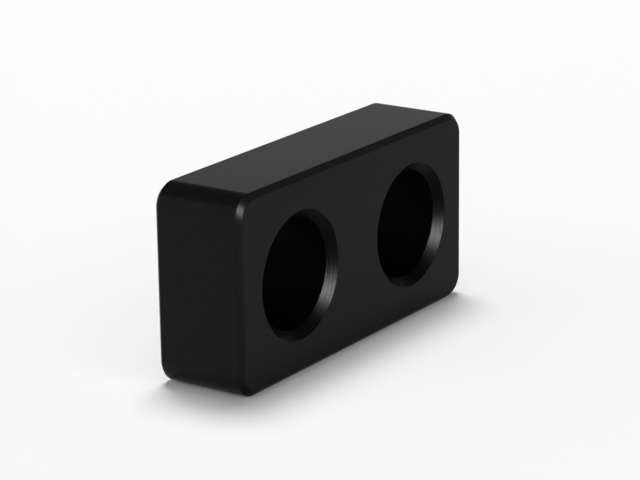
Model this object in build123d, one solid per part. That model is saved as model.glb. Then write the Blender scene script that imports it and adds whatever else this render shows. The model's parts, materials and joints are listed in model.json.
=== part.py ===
from build123d import *
import os

# Mounting block: a spacer of steel bar that stands on one long side, with two plain bores
# through its thickness.  Sizes are in millimetres.
# X runs along the block, Y along the bores with the front face towards -Y, and Z is up.
# The origin is the centre of the underside.

# Bores: a close sliding fit for 28 mm bolts and clamp stems.
bore_diameter = 28.0
bore_pitch = 50.0          # centre to centre along the block
bore_count = 2
bore_chamfer = 2.2         # 45 degree lead-in at both mouths of each bore

# Bar: the outline is set by how far it reaches past the bores.
end_distance = 25.0        # from the centre of an outer bore to the end of the block
side_distance = 25.0       # from the centre line of the bores to the underside and to the top
block_thickness = 25.0     # between the two bored faces, which is what the block spaces apart
corner_radius = 6.0        # the four corners that run parallel to the bores
rim_chamfer = 1.3          # 45 degree break all round the front and the back face

# Sizes that follow from those above.
block_length = (bore_count - 1) * bore_pitch + 2 * end_distance
block_height = 2 * side_distance
bore_radius = bore_diameter / 2

# The plane half way through the thickness, at the height of the bore centres, facing the front.
middle_plane = Plane(origin=(0, 0, side_distance), x_dir=(1, 0, 0), z_dir=(0, -1, 0))


def block_profile():
    """The section across the bores: the rounded outline less the row of bores."""
    with BuildSketch(middle_plane) as profile:
        RectangleRounded(block_length, block_height, corner_radius)
        with GridLocations(bore_pitch, 0, bore_count, 1):
            Circle(bore_radius, mode=Mode.SUBTRACT)
    return profile.sketch


def mounting_block():
    """The bar cut to size, bored, and broken at the rims of its two bored faces."""
    with BuildPart() as block:
        extrude(block_profile(), amount=block_thickness / 2, both=True)
        bored_faces = block.faces().filter_by(Axis.Y)
        rims = [edge for face in bored_faces for edge in face.outer_wire().edges()]
        mouths = [edge for face in bored_faces for wire in face.inner_wires() for edge in wire.edges()]
        chamfer(rims, rim_chamfer)
        chamfer(mouths, bore_chamfer)
    return block.part


os.makedirs("parts", exist_ok=True)
export_step(mounting_block(), "parts/mounting_block.step")
print("mounting_block", block_length, block_thickness, block_height)
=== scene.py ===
import json
import math

import bpy
from mathutils import Matrix, Vector


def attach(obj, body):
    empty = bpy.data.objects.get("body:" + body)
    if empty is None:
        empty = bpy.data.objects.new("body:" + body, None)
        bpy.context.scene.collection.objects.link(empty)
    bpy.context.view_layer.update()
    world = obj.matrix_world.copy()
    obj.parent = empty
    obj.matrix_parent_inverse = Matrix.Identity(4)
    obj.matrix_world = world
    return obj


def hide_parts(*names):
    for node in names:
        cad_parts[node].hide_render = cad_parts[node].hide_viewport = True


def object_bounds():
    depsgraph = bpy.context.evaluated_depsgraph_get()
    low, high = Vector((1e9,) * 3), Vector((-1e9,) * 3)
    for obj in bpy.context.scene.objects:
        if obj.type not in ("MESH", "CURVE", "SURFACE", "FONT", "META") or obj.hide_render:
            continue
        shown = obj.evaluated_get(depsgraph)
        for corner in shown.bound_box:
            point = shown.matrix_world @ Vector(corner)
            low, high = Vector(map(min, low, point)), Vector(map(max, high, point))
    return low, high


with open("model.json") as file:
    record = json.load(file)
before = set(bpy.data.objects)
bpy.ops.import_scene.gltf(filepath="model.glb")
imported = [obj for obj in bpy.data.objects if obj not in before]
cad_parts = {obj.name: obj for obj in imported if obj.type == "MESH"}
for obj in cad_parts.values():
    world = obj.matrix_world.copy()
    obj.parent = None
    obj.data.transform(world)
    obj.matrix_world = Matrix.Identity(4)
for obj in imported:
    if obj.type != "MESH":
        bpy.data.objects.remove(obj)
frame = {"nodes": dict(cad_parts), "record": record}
cadLow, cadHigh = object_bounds()
blockCentre = (cadLow + cadHigh) / 2
mounts = {mount["name"]: mount for mount in frame["record"]["mounts"]}
print("frame loaded:", sorted(frame["nodes"]))


def feed(tree, node, name, value):
    # a socket is linked, anything else is set as the input's own value
    socket = node.inputs[name]
    if isinstance(value, bpy.types.NodeSocket):
        tree.links.new(value, socket)
    else:
        socket.default_value = value


def addNode(tree, kind, inputs=None, **settings):
    # the settings come first, because they decide which inputs the node has
    node = tree.nodes.new(kind)
    for name, value in settings.items():
        setattr(node, name, value)
    for name, value in (inputs or {}).items():
        feed(tree, node, name, value)
    return node


def maths(tree, operation, first, second=0.0):
    return addNode(tree, "ShaderNodeMath", {0: first, 1: second}, operation=operation).outputs[0]


def slant(tree, across, up):
    # the straight distance that two measures at a right angle to each other make
    squares = [maths(tree, "MULTIPLY", side, side) for side in (across, up)]
    return maths(tree, "SQRT", maths(tree, "ADD", squares[0], squares[1]))


def toRange(tree, value, given, wanted, **settings):
    # one range of values turned into another, and held at its ends
    inputs = {"Value": value, "From Min": given[0], "From Max": given[1],
              "To Min": wanted[0], "To Max": wanted[1]}
    return addNode(tree, "ShaderNodeMapRange", inputs, **settings).outputs["Result"]


def mixColours(tree, factor, first, second):
    mixed = addNode(tree, "ShaderNodeMix", {"Factor": factor, "A": first, "B": second},
                    data_type="RGBA")
    return mixed.outputs["Result"]


def toPlace(tree, x=0.0, y=0.0, z=0.0):
    return addNode(tree, "ShaderNodeCombineXYZ", {"X": x, "Y": y, "Z": z}).outputs[0]


def toAxes(tree, place):
    return addNode(tree, "ShaderNodeSeparateXYZ", {"Vector": place}).outputs


steelCoat = {
    "mottlePerMetre": 70.0,
    "mottleDetail": 4.0,
    "mottleRoughness": 0.6,
    "marksRange": (0.3, 0.7),    # the part of the marks' noise that goes from dark to pale
}


def blackSteel(name, finish):
    # the shader that every finish shares, and the place that its marks go by
    material = bpy.data.materials.new(name)
    material.use_nodes = True
    tree = material.node_tree
    shader = tree.nodes["Principled BSDF"]
    shader.inputs["Metallic"].default_value = 0.0
    shader.inputs["Specular IOR Level"].default_value = finish["specular"]
    place = addNode(tree, "ShaderNodeTexCoord").outputs["Object"]
    return material, tree, shader, place


def addMarks(tree, shader, place, marks, finish):
    # a mottled near-black colour, in which the tool marks show faintly
    share = finish["marksInColour"]
    mottle = addNode(tree, "ShaderNodeTexNoise", {"Vector": place,
                                                  "Scale": steelCoat["mottlePerMetre"],
                                                  "Detail": steelCoat["mottleDetail"],
                                                  "Roughness": steelCoat["mottleRoughness"]})
    mottled = maths(tree, "MULTIPLY", mottle.outputs[0], 1.0 - share)
    shown = toRange(tree, marks, steelCoat["marksRange"], (0.0, share))
    colour = mixColours(tree, maths(tree, "ADD", mottled, shown), finish["colour"],
                        finish["paleColour"])
    tree.links.new(colour, shader.inputs["Base Color"])

    # the marks also raise the surface a little, and make it glossier or duller
    bump = addNode(tree, "ShaderNodeBump", {"Height": marks, "Distance": finish["markDepth"],
                                            "Strength": 1.0})
    tree.links.new(bump.outputs["Normal"], shader.inputs["Normal"])
    low = finish["roughness"] - finish["roughnessSpread"] / 2
    high = finish["roughness"] + finish["roughnessSpread"] / 2
    tree.links.new(toRange(tree, marks, (0.0, 1.0), (low, high)), shader.inputs["Roughness"])


# the two bored faces
groundFinish = {
    "colour": (0.0068, 0.0068, 0.0070, 1.0),
    "paleColour": (0.0110, 0.0110, 0.0113, 1.0),
    "marksInColour": 0.7,        # how much of the change in colour follows the marks
    "roughness": 0.40,
    "roughnessSpread": 0.18,
    "specular": 0.031,
    "grainAxis": "X",            # the way that the marks are drawn out
    "grainPerMetre": 2600.0,     # how fine they are across that
    "grainStretch": 0.02,        # and along it, as a share of the same
    "grainDetail": 3.0,
    "markDepth": 0.00001,
}

# the rim
milledFinish = {
    "colour": (0.0038, 0.0038, 0.0040, 1.0),
    "paleColour": (0.0062, 0.0062, 0.0064, 1.0),
    "marksInColour": 0.6,
    "roughness": 0.30,
    "roughnessSpread": 0.10,
    "specular": 0.079,
    "grainAxis": "Y",
    "grainPerMetre": 1800.0,
    "grainStretch": 0.3,
    "grainDetail": 2.0,
    "markDepth": 0.0000012,
}

# the chamfers round the rim; their colour is kept paler than the rim's as a painted sheen,
# standing in for reflections on the chamfers
brokenEdgeFinishAndPaintedSheen = {
    "colour": (0.0058, 0.0058, 0.0060, 1.0),
    "paleColour": (0.0094, 0.0094, 0.0096, 1.0),
    "marksInColour": 0.6,
    "roughness": 0.33,
    "roughnessSpread": 0.18,
    "specular": 0.022,
    "grainAxis": "Y",
    "grainPerMetre": 1800.0,
    "grainStretch": 0.35,
    "grainDetail": 2.0,
    "markDepth": 0.000012,
}


def grainedSteel(name, finish):
    # straight marks: long grinding lines, or the short soft marks of a milling cutter
    material, tree, shader, place = blackSteel(name, finish)
    scale = [finish["grainPerMetre"]] * 3
    scale["XYZ".index(finish["grainAxis"])] *= finish["grainStretch"]
    stretched = addNode(tree, "ShaderNodeMapping", {"Vector": place, "Scale": scale})
    grain = addNode(tree, "ShaderNodeTexNoise", {"Vector": stretched.outputs["Vector"],
                                                 "Scale": 1.0, "Detail": finish["grainDetail"]})
    addMarks(tree, shader, place, grain.outputs[0], finish)
    return material


# the walls of the bores; their colour, far darker than the faces', is painted shade inside the
# bores, and the rings in it are real tool marks
boredFinishAndPaintedShade = {
    "colour": (0.0012, 0.0012, 0.0013, 1.0),
    "paleColour": (0.0018, 0.0018, 0.0019, 1.0),
    "marksInColour": 0.3,
    "roughness": 0.40,
    "roughnessSpread": 0.08,
    "specular": 0.008,
    "feedPerMetre": 7000.0,      # tool marks per metre of travel
    "feedDetail": 4.0,
    "wobble": 0.0001,            # how far the rings stray, and how often
    "wobblePerMetre": 160.0,
    "wobbleDetail": 2.0,
    "markDepth": 0.000003,
}

# the chamfers at the mouths of the bores; their colour, darker than the faces', is painted shade
# in the bore mouths, and the rings in it are real tool marks
countersunkFinishAndPaintedShade = {
    "colour": (0.0017, 0.0017, 0.0018, 1.0),
    "paleColour": (0.0025, 0.0025, 0.0026, 1.0),
    "marksInColour": 0.3,
    "roughness": 0.30,
    "roughnessSpread": 0.22,
    "specular": 0.028,
    "feedPerMetre": 1600.0,
    "feedDetail": 4.0,
    "wobble": 0.0006,
    "wobblePerMetre": 420.0,
    "wobbleDetail": 2.0,
    "markDepth": 0.00004,
}


def turnedSteel(name, finish, borePitch, boreHeight):
    # rings of tool feed marks round each bore
    material, tree, shader, place = blackSteel(name, finish)
    x, y, z = toAxes(tree, place)
    sideways = maths(tree, "SUBTRACT", maths(tree, "ABSOLUTE", x), borePitch / 2)
    upwards = maths(tree, "SUBTRACT", z, boreHeight)
    travel = maths(tree, "ADD", slant(tree, sideways, upwards), maths(tree, "ABSOLUTE", y))
    drift = addNode(tree, "ShaderNodeTexNoise", {"Vector": place,
                                                 "Scale": finish["wobblePerMetre"],
                                                 "Detail": finish["wobbleDetail"]})
    strayed = maths(tree, "MULTIPLY", drift.outputs[0], finish["wobble"])
    turns = maths(tree, "MULTIPLY", maths(tree, "ADD", travel, strayed), finish["feedPerMetre"])
    rings = addNode(tree, "ShaderNodeTexNoise", {"W": turns, "Scale": 1.0,
                                                 "Detail": finish["feedDetail"]},
                    noise_dimensions="1D")
    addMarks(tree, shader, place, rings.outputs[0], finish)
    return material


boreDims = mounts["left_bore"]["dims"]
blockForm = {
    "Length": cadHigh.x - cadLow.x,
    "Height": cadHigh.z - cadLow.z,
    "Thickness": cadHigh.y - cadLow.y,
    "Corner Radius": 0.006,
    "Rim Chamfer": 0.0013,
    "Bore Radius": boreDims["r_mm"] / 1000,
    "Bore Pitch": mounts["bolt_row"]["dims"]["spacing_x_mm"] / 1000,
    "Bore Chamfer": (cadHigh.y - cadLow.y - boreDims["length_mm"] / 1000) / 2,
    "Rim Edge Round": 0.0004,    # the slight round left on the chamfers' edges by tumbling
    "Bore Edge Round": 0.00012,
    "Face Margin": 0.0006,       # flat strip that each swept band carries on to the bored faces
    "Weld Distance": 0.000002,   # points closer than this are one
    "Corner Steps": 40,
    "Bore Steps": 200,
    "Edge Steps": 5,
}
# a face is tagged with its zone's place in this list, and an untagged face counts as ground
zones = ["ground", "milled", "brokenEdge", "bored", "countersunk"]


def roundCorners(tree, curve, steps, radius):
    # with one step it makes chamfers
    rounded = addNode(tree, "GeometryNodeFilletCurve", {"Curve": curve, "Count": steps,
                                                        "Radius": radius}, mode="POLY")
    return rounded.outputs["Curve"]


def compare(tree, kind, operation, first, second):
    compared = addNode(tree, "FunctionNodeCompare", {"A": first, "B": second}, data_type=kind,
                       operation=operation)
    return compared.outputs[0]


def join(tree, parts):
    joined = addNode(tree, "GeometryNodeJoinGeometry")
    for part in parts:
        tree.links.new(part, joined.inputs[0])
    return joined.outputs[0]


def addSection(tree, sizes, chamfer, easing, direction):
    # the U-shaped section of one band: bored face, chamfer, wall, chamfer, bored face,
    # with its edges eased
    reach = maths(tree, "ADD", sizes[chamfer], sizes["Face Margin"])
    reach = maths(tree, "MULTIPLY", reach, direction)
    upper = maths(tree, "MULTIPLY", sizes["Thickness"], 0.5)
    lower = maths(tree, "MULTIPLY", upper, -1.0)
    outline = addNode(tree, "GeometryNodeCurvePrimitiveQuadrilateral", {
        "Point 1": toPlace(tree, reach, lower),
        "Point 2": toPlace(tree, 0.0, lower),
        "Point 3": toPlace(tree, 0.0, upper),
        "Point 4": toPlace(tree, reach, upper),
    }, mode="POINTS")
    opened = addNode(tree, "GeometryNodeSetSplineCyclic", {"Geometry": outline.outputs["Curve"],
                                                           "Cyclic": False})
    chamfered = roundCorners(tree, opened.outputs["Geometry"], 1, sizes[chamfer])
    return roundCorners(tree, chamfered, sizes["Edge Steps"], sizes[easing])


def addBand(tree, sizes, path, section, chamfer, wallZone, chamferZone):
    # a section swept round its path, each face tagged with the number of its zone
    swept = addNode(tree, "GeometryNodeCurveToMesh", {"Curve": path, "Profile Curve": section})
    place = addNode(tree, "GeometryNodeInputPosition").outputs[0]
    depth = maths(tree, "SUBTRACT", maths(tree, "MULTIPLY", sizes["Thickness"], 0.5),
                  maths(tree, "ABSOLUTE", toAxes(tree, place)["Z"]))
    onChamfer = maths(tree, "LESS_THAN", depth, sizes[chamfer])
    onFace = maths(tree, "LESS_THAN", depth, sizes["Weld Distance"])
    wall, step = zones.index(wallZone), zones.index(chamferZone) - zones.index(wallZone)
    zone = maths(tree, "ADD", maths(tree, "MULTIPLY", onChamfer, step), wall)
    zone = maths(tree, "MULTIPLY", zone, maths(tree, "SUBTRACT", 1.0, onFace))
    tagged = addNode(tree, "GeometryNodeStoreNamedAttribute", {
        "Geometry": swept.outputs["Mesh"],
        "Name": "finishZone",
        "Value": zone,
    }, data_type="INT", domain="FACE")
    return tagged.outputs["Geometry"]


def blockTree(materials):
    tree = bpy.data.node_groups.new("chamferedBlock", "GeometryNodeTree")
    tree.interface.new_socket("Geometry", in_out="OUTPUT", socket_type="NodeSocketGeometry")
    for name, size in blockForm.items():
        kind = "NodeSocketInt" if isinstance(size, int) else "NodeSocketFloat"
        tree.interface.new_socket(name, in_out="INPUT", socket_type=kind)
    given = addNode(tree, "NodeGroupInput").outputs
    sizes = {name: given[name] for name in blockForm}

    # the bar's rim
    outline = addNode(tree, "GeometryNodeCurvePrimitiveQuadrilateral", {
        "Width": sizes["Length"],
        "Height": sizes["Height"],
    })
    rimPath = roundCorners(tree, outline.outputs["Curve"], sizes["Corner Steps"],
                           sizes["Corner Radius"])
    rimSection = addSection(tree, sizes, "Rim Chamfer", "Rim Edge Round", -1.0)
    rim = addBand(tree, sizes, rimPath, rimSection, "Rim Chamfer", "milled", "brokenEdge")

    # one bore, set half the pitch to either side of the middle
    circle = addNode(tree, "GeometryNodeCurvePrimitiveCircle", {
        "Resolution": sizes["Bore Steps"],
        "Radius": sizes["Bore Radius"],
    })
    boreSection = addSection(tree, sizes, "Bore Chamfer", "Bore Edge Round", 1.0)
    boreBand = addBand(tree, sizes, circle.outputs["Curve"], boreSection, "Bore Chamfer",
                       "bored", "countersunk")
    bore = addNode(tree, "GeometryNodeFlipFaces", {"Mesh": boreBand})
    places = addNode(tree, "GeometryNodeMeshLine", {
        "Count": 2,
        "Start Location": toPlace(tree, maths(tree, "MULTIPLY", sizes["Bore Pitch"], -0.5)),
        "Offset": toPlace(tree, sizes["Bore Pitch"]),
    })
    boresPlaced = addNode(tree, "GeometryNodeInstanceOnPoints", {
        "Points": places.outputs["Mesh"],
        "Instance": bore.outputs["Mesh"],
    })
    bores = addNode(tree, "GeometryNodeRealizeInstances", {
        "Geometry": boresPlaced.outputs["Instances"],
    })
    bands = join(tree, (rim, bores.outputs[0]))

    # the two bored faces fill what the bands leave open
    neighbours = addNode(tree, "GeometryNodeInputMeshEdgeNeighbors").outputs[0]
    place = addNode(tree, "GeometryNodeInputPosition").outputs[0]
    openEdge = compare(tree, "INT", "EQUAL", neighbours, 1)
    upper = compare(tree, "FLOAT", "GREATER_THAN", toAxes(tree, place)["Z"], 0.0)
    wanted = addNode(tree, "FunctionNodeBooleanMath", {0: openEdge, 1: upper}, operation="AND")
    loops = addNode(tree, "GeometryNodeMeshToCurve", {"Mesh": bands,
                                                      "Selection": wanted.outputs[0]})
    filled = addNode(tree, "GeometryNodeFillCurve", {"Curve": loops.outputs["Curve"]})
    half = maths(tree, "MULTIPLY", sizes["Thickness"], 0.5)
    faces = []
    for side in (1.0, -1.0):
        moved = addNode(tree, "GeometryNodeTransform", {
            "Geometry": filled.outputs["Mesh"],
            "Translation": toPlace(tree, z=maths(tree, "MULTIPLY", half, side)),
        })
        faces.append(moved.outputs["Geometry"])
    turned = addNode(tree, "GeometryNodeFlipFaces", {"Mesh": faces[1]})
    welded = addNode(tree, "GeometryNodeMergeByDistance", {
        "Geometry": join(tree, (bands, faces[0], turned.outputs["Mesh"])),
        "Distance": sizes["Weld Distance"],
    })
    smooth = addNode(tree, "GeometryNodeSetShadeSmooth", {
        "Geometry": welded.outputs["Geometry"],
        "Shade Smooth": True,
    })

    # stood up on its long side, with the front towards -Y
    stood = addNode(tree, "GeometryNodeTransform", {
        "Geometry": smooth.outputs["Geometry"],
        "Translation": toPlace(tree, z=maths(tree, "MULTIPLY", sizes["Height"], 0.5)),
        "Rotation": (math.radians(90), 0.0, 0.0),
    })
    realized = addNode(tree, "GeometryNodeRealizeInstances", {
        "Geometry": stood.outputs["Geometry"],
    })
    zone = addNode(tree, "GeometryNodeInputNamedAttribute", {"Name": "finishZone"},
                   data_type="INT").outputs["Attribute"]
    last = realized.outputs[0]
    for number, name in enumerate(zones):
        finished = addNode(tree, "GeometryNodeSetMaterial", {
            "Geometry": last,
            "Selection": compare(tree, "INT", "EQUAL", zone, number),
            "Material": materials[name],
        })
        last = finished.outputs["Geometry"]
    tree.links.new(last, addNode(tree, "NodeGroupOutput").inputs[0])
    return tree


def makePlainMesh(piece):
    # what the modifiers give becomes the piece's own mesh, and the modifiers go
    graph = bpy.context.evaluated_depsgraph_get()
    mesh = bpy.data.meshes.new_from_object(piece.evaluated_get(graph), depsgraph=graph,
                                           preserve_all_data_layers=True)
    mesh.name = piece.name
    mesh.materials.pop(index=0)    # the empty slot that the swept bands start with
    piece.modifiers.clear()
    piece.data = mesh


def buildBlock():
    borePitch, boreHeight = blockForm["Bore Pitch"], blockForm["Height"] / 2
    materials = {
        "ground": grainedSteel("groundBlackSteel", groundFinish),
        "milled": grainedSteel("milledBlackSteel", milledFinish),
        "brokenEdge": grainedSteel("brokenEdgeBlackSteel", brokenEdgeFinishAndPaintedSheen),
        "bored": turnedSteel("boredBlackSteel", boredFinishAndPaintedShade, borePitch, boreHeight),
        "countersunk": turnedSteel("countersunkBlackSteel", countersunkFinishAndPaintedShade, borePitch,
                                   boreHeight),
    }
    block = bpy.data.objects.new("machinedBlock", bpy.data.meshes.new("machinedBlock"))
    bpy.context.scene.collection.objects.link(block)
    modifier = block.modifiers.new("chamferedBlock", "NODES")
    modifier.node_group = blockTree(materials)
    for socket in modifier.node_group.interface.items_tree:
        if socket.in_out == "INPUT":
            modifier[socket.identifier] = blockForm[socket.name]
    weighting = block.modifiers.new("flatsStayFlat", "WEIGHTED_NORMAL")
    weighting.mode = "FACE_AREA"
    weighting.weight = 100         # the larger face decides the shading along an edge
    makePlainMesh(block)
    return block


block = buildBlock()
print("block:", len(block.data.polygons), "faces,", [m.name for m in block.data.materials])
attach(block, "root")
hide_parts("mounting_block")


whiteLevel = 0.965    # the white in which the floor and the surroundings meet

paleFloor = {
    "width": 12.0,
    "drop": 0.00002,             # keeps it just clear of the block's underside
    "colour": (0.955, 0.955, 0.955, 1.0),
    "paleColour": (0.959775, 0.959775, 0.959775, 1.0),
    "fibrePerMetre": 900.0,
    "glowAtBlock": 0.0,          # how much of it is seen as plain white, beside the block
    "glowNear": 0.55,            # at the near distance from the block
    "glowFar": 1.0,              # and from the far distance on
    "nearDistance": 0.10,
    "farDistance": 3.0,
}


def glowAcrossFloor(tree, place):
    # none where the block stands, then rising with the distance from its footprint
    axes = toAxes(tree, place)
    reach = []
    for axis, edge in (("X", cadHigh.x), ("Y", cadHigh.y)):
        outside = maths(tree, "SUBTRACT", maths(tree, "ABSOLUTE", axes[axis]), edge)
        reach.append(maths(tree, "MAXIMUM", outside, 0.0))
    away = slant(tree, reach[0], reach[1])
    near = toRange(tree, away, (0.0, paleFloor["nearDistance"]),
                   (paleFloor["glowAtBlock"], paleFloor["glowNear"]))
    far = toRange(tree, away, (paleFloor["nearDistance"], paleFloor["farDistance"]),
                  (0.0, paleFloor["glowFar"] - paleFloor["glowNear"]))
    return maths(tree, "ADD", near, far)


def buildFloor():
    half = paleFloor["width"] / 2
    corners = [(-half, -half, 0), (half, -half, 0), (half, half, 0), (-half, half, 0)]
    mesh = bpy.data.meshes.new("studioFloor")
    mesh.from_pydata(corners, [], [(0, 1, 2, 3)])
    floor = bpy.data.objects.new("studioFloor", mesh)
    bpy.context.scene.collection.objects.link(floor)
    floor.location.z = cadLow.z - paleFloor["drop"]
    material = bpy.data.materials.new("palePaper")
    material.use_nodes = True
    tree = material.node_tree
    shader = tree.nodes["Principled BSDF"]
    shader.inputs["Roughness"].default_value = 1.0
    shader.inputs["Specular IOR Level"].default_value = 0.0
    place = addNode(tree, "ShaderNodeTexCoord").outputs["Object"]
    fibre = addNode(tree, "ShaderNodeTexNoise", {"Vector": place,
                                                 "Scale": paleFloor["fibrePerMetre"]})
    colour = mixColours(tree, fibre.outputs[0], paleFloor["colour"], paleFloor["paleColour"])
    tree.links.new(colour, shader.inputs["Base Color"])

    # the eye, gloss and glass see the floor nearer to white, and the block gets no more light
    ray = addNode(tree, "ShaderNodeLightPath")
    seen = maths(tree, "MAXIMUM", ray.outputs["Is Camera Ray"], ray.outputs["Is Glossy Ray"])
    seen = maths(tree, "MAXIMUM", seen, ray.outputs["Is Transmission Ray"])
    white = addNode(tree, "ShaderNodeEmission", {"Color": (1.0, 1.0, 1.0, 1.0),
                                                 "Strength": whiteLevel})
    blend = addNode(tree, "ShaderNodeMixShader", {
        0: maths(tree, "MULTIPLY", seen, glowAcrossFloor(tree, place)),
        1: shader.outputs["BSDF"],
        2: white.outputs["Emission"],
    })
    tree.links.new(blend.outputs["Shader"], tree.nodes["Material Output"].inputs["Surface"])
    mesh.materials.append(material)


surroundings = {
    "zenith": 0.03,              # their brightness high up
    "darkLean": 8.0,             # how far the dark part overhead leans towards +Y, in degrees
    "leftFade": (42.0, 48.0),    # degrees of elevation between which they darken, towards -X
    "rightFade": (0.0, 38.0),    # and towards +X
    "blend": 0.4,                # half the width over which the left passes into the right
}


def buildSurroundings():
    world = bpy.data.worlds.new("studioWorld")
    bpy.context.scene.world = world
    world.use_nodes = True
    tree = world.node_tree
    direction = addNode(tree, "ShaderNodeTexCoord").outputs["Generated"]
    leaned = addNode(tree, "ShaderNodeVectorRotate", {
        "Vector": direction,
        "Angle": math.radians(surroundings["darkLean"]),
    }, rotation_type="X_AXIS")
    axes = toAxes(tree, leaned.outputs["Vector"])
    elevation = maths(tree, "MULTIPLY", maths(tree, "ARCSINE", axes["Z"]), 180 / math.pi)
    sides = (-surroundings["blend"], surroundings["blend"])
    limits = [toRange(tree, axes["X"], sides, fades, interpolation_type="SMOOTHSTEP")
              for fades in zip(surroundings["leftFade"], surroundings["rightFade"])]
    fade = toRange(tree, elevation, limits, (whiteLevel, surroundings["zenith"]),
                   interpolation_type="SMOOTHSTEP")
    background = tree.nodes["Background"]
    background.inputs["Color"].default_value = (1.0, 1.0, 1.0, 1.0)
    tree.links.new(fade, background.inputs["Strength"])


overheadLight = {
    "place": (0.60, 0.50, 3.0),
    "width": 1.2,
    "height": 1.2,
    "roll": 0.0,
    "power": 70.0,
}

stripLight = {
    "azimuth": -26.0,
    "elevation": 21.5,
    "distance": 0.5,
    "width": 0.175,
    "height": 0.46,
    "roll": 28.0,
    "power": 26.5,
}


def towards(azimuth, elevation):
    # azimuth 0 lies towards -Y, and positive azimuths turn towards +X
    turned, raised = math.radians(azimuth), math.radians(elevation)
    level = math.cos(raised)
    return Vector((math.sin(turned) * level, -math.cos(turned) * level, math.sin(raised)))


def addSoftbox(name, place, light):
    data = bpy.data.lights.new(name, "AREA")
    data.shape = "RECTANGLE"
    data.size, data.size_y = light["width"], light["height"]
    data.energy = light["power"]
    lamp = bpy.data.objects.new(name, data)
    bpy.context.scene.collection.objects.link(lamp)
    aimed = (blockCentre - place).to_track_quat("-Z", "Y").to_matrix().to_4x4()
    rolled = Matrix.Rotation(math.radians(light["roll"]), 4, "Z")
    lamp.matrix_world = Matrix.Translation(place) @ aimed @ rolled
    lamp.visible_camera = False
    return lamp


def buildLamps():
    # the overhead box lights the set, and its gloss would be a patch in the rounded corners
    overhead = addSoftbox("overheadBox", Vector(overheadLight["place"]), overheadLight)
    overhead.visible_glossy = False

    # the strip gives gloss alone, for the bright streaks on the chamfers
    away = towards(stripLight["azimuth"], stripLight["elevation"]) * stripLight["distance"]
    strip = addSoftbox("frontStrip", blockCentre + away, stripLight)
    strip.visible_diffuse = False


buildFloor()
print("floor laid")
buildSurroundings()
buildLamps()
print("surroundings and lamps set up")


viewpoint = {
    "azimuth": -55.805,
    "elevation": 16.883,
    "roll": -0.754,
    "distance": 0.63966,
    "right": 0.00092,            # how far it stands off the line through the block's centre
    "up": 0.000416,
    "lens": 143.415,
    "sensor": 36.0,
    "clip": (0.01, 50.0),
}


def buildCamera():
    data = bpy.data.cameras.new("camera")
    data.lens, data.sensor_width = viewpoint["lens"], viewpoint["sensor"]
    data.clip_start, data.clip_end = viewpoint["clip"]
    camera = bpy.data.objects.new("camera", data)
    bpy.context.scene.collection.objects.link(camera)
    back = towards(viewpoint["azimuth"], viewpoint["elevation"])
    aimed = back.to_track_quat("Z", "Y").to_matrix().to_4x4()
    turn = aimed @ Matrix.Rotation(math.radians(viewpoint["roll"]), 4, "Z")
    right, up = turn.to_3x3().col[0], turn.to_3x3().col[1]
    place = (blockCentre + back * viewpoint["distance"] + right * viewpoint["right"]
             + up * viewpoint["up"])
    camera.matrix_world = Matrix.Translation(place) @ turn
    bpy.context.scene.camera = camera


buildCamera()
bpy.context.scene.view_settings.view_transform = "Standard"
print("camera set")
